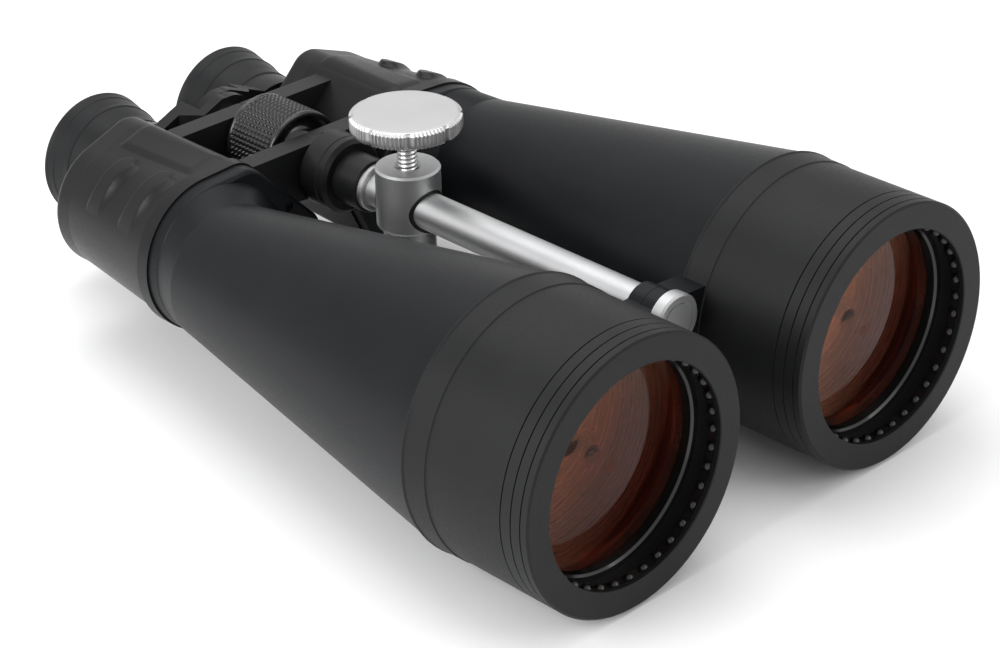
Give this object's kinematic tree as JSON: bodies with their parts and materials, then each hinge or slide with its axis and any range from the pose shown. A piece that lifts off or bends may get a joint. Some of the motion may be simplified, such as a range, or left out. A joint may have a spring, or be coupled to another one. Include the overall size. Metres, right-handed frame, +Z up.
{
  "type": "binoculars",
  "caption": "Large-aperture Porro-prism binoculars with long conical barrels, a central rod hinge, a focus wheel and a sliding tripod clamp with a thumbscrew.",
  "frame": {"origin": "centre of the bounding box's underside, under the middle of the instrument, level with the lowest points of the two bells", "axes": "+Y from the objectives towards the eyes, +X to the user's left half, +Z up; the optical axes lie in a level plane"},
  "size_m": [0.2412, 0.344, 0.1077],
  "materials": {
    "bell_rubber": "fine matte rubber coating, charcoal",
    "barrel_coat": "soft satin black coating",
    "armour_rubber": "matte black rubber armour",
    "black_metal": "satin black paint",
    "trim_black": "semi-gloss black moulding",
    "gloss_black": "gloss black enamel",
    "inner_black": "matte black anodised interior",
    "baffle_plastic": "matte black ridged moulding",
    "coated_glass": "ruby and amber anti-reflection coating",
    "eye_glass": "blue-violet coated glass",
    "prism_glass": "polished optical glass",
    "spring_steel": "plain ground steel",
    "screw_steel": "zinc-plated steel",
    "eyecup_rubber": "smooth matte rubber",
    "knurled_black": "knurled and black anodised, satin",
    "satin_aluminium": "satin anodised, bead blasted",
    "knob_aluminium": "bright satin anodised",
    "liner_nylon": "black nylon",
    "pad_brass": "plain machined brass"
  },
  "bodies": {
    "centre_spindle": {"centre_rod": "satin_aluminium", "rod_cap": "satin_aluminium", "rod_ring": "satin_aluminium", "hinge_shaft": "spring_steel", "tension_collar": "black_metal", "hinge_barrel": "black_metal"},
    "right_half": {"right_objective_bell": "bell_rubber", "right_bead_ring": "trim_black", "right_lens_lock_ring": "gloss_black", "right_objective_cell": "inner_black", "right_crown_lens": "coated_glass", "right_flint_lens": "coated_glass", "right_objective_barrel": "barrel_coat", "right_baffle_tube": "baffle_plastic", "right_prism_front_plate": "barrel_coat", "right_prism_casting": "black_metal", "right_housing_armour": "armour_rubber", "right_prism_shelf": "black_metal", "right_rear_prism": "prism_glass", "right_front_prism": "prism_glass", "right_prism_clips": "spring_steel", "right_prism_rear_cover": "black_metal", "right_housing_screws": "screw_steel"},
    "left_half": {"left_objective_bell": "bell_rubber", "left_bead_ring": "trim_black", "left_lens_lock_ring": "gloss_black", "left_objective_cell": "inner_black", "left_crown_lens": "coated_glass", "left_flint_lens": "coated_glass", "left_objective_barrel": "barrel_coat", "left_baffle_tube": "baffle_plastic", "left_prism_front_plate": "barrel_coat", "left_prism_casting": "black_metal", "left_housing_armour": "armour_rubber", "left_prism_shelf": "black_metal", "left_rear_prism": "prism_glass", "left_front_prism": "prism_glass", "left_prism_clips": "spring_steel", "left_prism_rear_cover": "black_metal", "left_housing_screws": "screw_steel"},
    "focus_wheel": {"focus_wheel": "knurled_black"},
    "focus_bridge": {"focus_spindle": "spring_steel", "bridge_cap": "black_metal"},
    "left_eyepiece": {"left_bridge_arm": "black_metal", "left_ocular_tube": "inner_black", "left_field_lens": "eye_glass", "left_eye_lens": "eye_glass", "left_eyecup": "eyecup_rubber"},
    "right_carriage": {"right_bridge_arm": "black_metal"},
    "diopter_ring": {"diopter_ring": "knurled_black"},
    "right_ocular": {"right_ocular_tube": "inner_black", "right_field_lens": "eye_glass", "right_eye_lens": "eye_glass", "right_eyecup": "eyecup_rubber"},
    "clamp_liner": {"clamp_liner": "liner_nylon"},
    "tripod_clamp": {"clamp_block": "satin_aluminium", "clamp_post": "satin_aluminium"},
    "pressure_pad": {"pressure_pad": "pad_brass"},
    "clamp_knob": {"clamp_stud": "screw_steel", "clamp_knob": "knob_aluminium"}
  },
  "joints": [
    {"name": "right_half_hinge", "type": "hinge", "parent": "centre_spindle", "child": "right_half", "pos_m": [0, 0, 0.0694], "axis": [0, 1, 0], "range_deg": [-15.6, 6.2]},
    {"name": "left_half_hinge", "type": "hinge", "parent": "centre_spindle", "child": "left_half", "pos_m": [0, 0, 0.0694], "axis": [0, 1, 0], "range_deg": [-6.2, 15.6]},
    {"name": "focus_wheel_turn", "type": "hinge", "parent": "centre_spindle", "child": "focus_wheel", "pos_m": [0, 0, 0.0694], "axis": [0, 1, 0], "range_deg": [-40, 320]},
    {"name": "focus_bridge_slide", "type": "slide", "parent": "centre_spindle", "child": "focus_bridge", "axis": [0, 1, 0], "range_m": [-0.001, 0.008]},
    {"name": "left_eyepiece_slide", "type": "slide", "parent": "left_half", "child": "left_eyepiece", "axis": [0, 1, 0], "range_m": [-0.001, 0.008]},
    {"name": "right_carriage_slide", "type": "slide", "parent": "right_half", "child": "right_carriage", "axis": [0, 1, 0], "range_m": [-0.001, 0.008]},
    {"name": "diopter_turn", "type": "hinge", "parent": "right_carriage", "child": "diopter_ring", "pos_m": [-0.0342, 0.142, 0.051], "axis": [0, 1, 0], "range_deg": [-110, 110]},
    {"name": "right_ocular_slide", "type": "slide", "parent": "right_carriage", "child": "right_ocular", "axis": [0, 1, 0], "range_m": [-0.0012, 0.0012]},
    {"name": "clamp_slide", "type": "slide", "parent": "centre_spindle", "child": "clamp_liner", "axis": [0, 1, 0], "range_m": [-0.055, 0.003]},
    {"name": "clamp_swing", "type": "hinge", "parent": "clamp_liner", "child": "tripod_clamp", "pos_m": [0, 0, 0.0694], "axis": [0, 1, 0], "range_deg": [-8, 8]},
    {"name": "pad_lift", "type": "slide", "parent": "tripod_clamp", "child": "pressure_pad", "axis": [0, 0, 1], "range_m": [0, 0.0025]},
    {"name": "clamp_knob_turn", "type": "hinge", "parent": "pressure_pad", "child": "clamp_knob", "pos_m": [0, 0.0141, 0.1], "axis": [0, 0, 1], "range_deg": [0, 720]}
  ],
  "couplings": [
    {"joint": "left_half_hinge", "follows": "right_half_hinge", "ratio": -1},
    {"joint": "focus_wheel_turn", "follows": "focus_bridge_slide", "rad_per_m": 698.1},
    {"joint": "left_eyepiece_slide", "follows": "focus_bridge_slide", "ratio": 1},
    {"joint": "right_carriage_slide", "follows": "focus_bridge_slide", "ratio": 1},
    {"joint": "diopter_turn", "follows": "right_ocular_slide", "rad_per_m": 1599.8},
    {"joint": "clamp_knob_turn", "follows": "pad_lift", "rad_per_m": 5026.5}
  ]
}
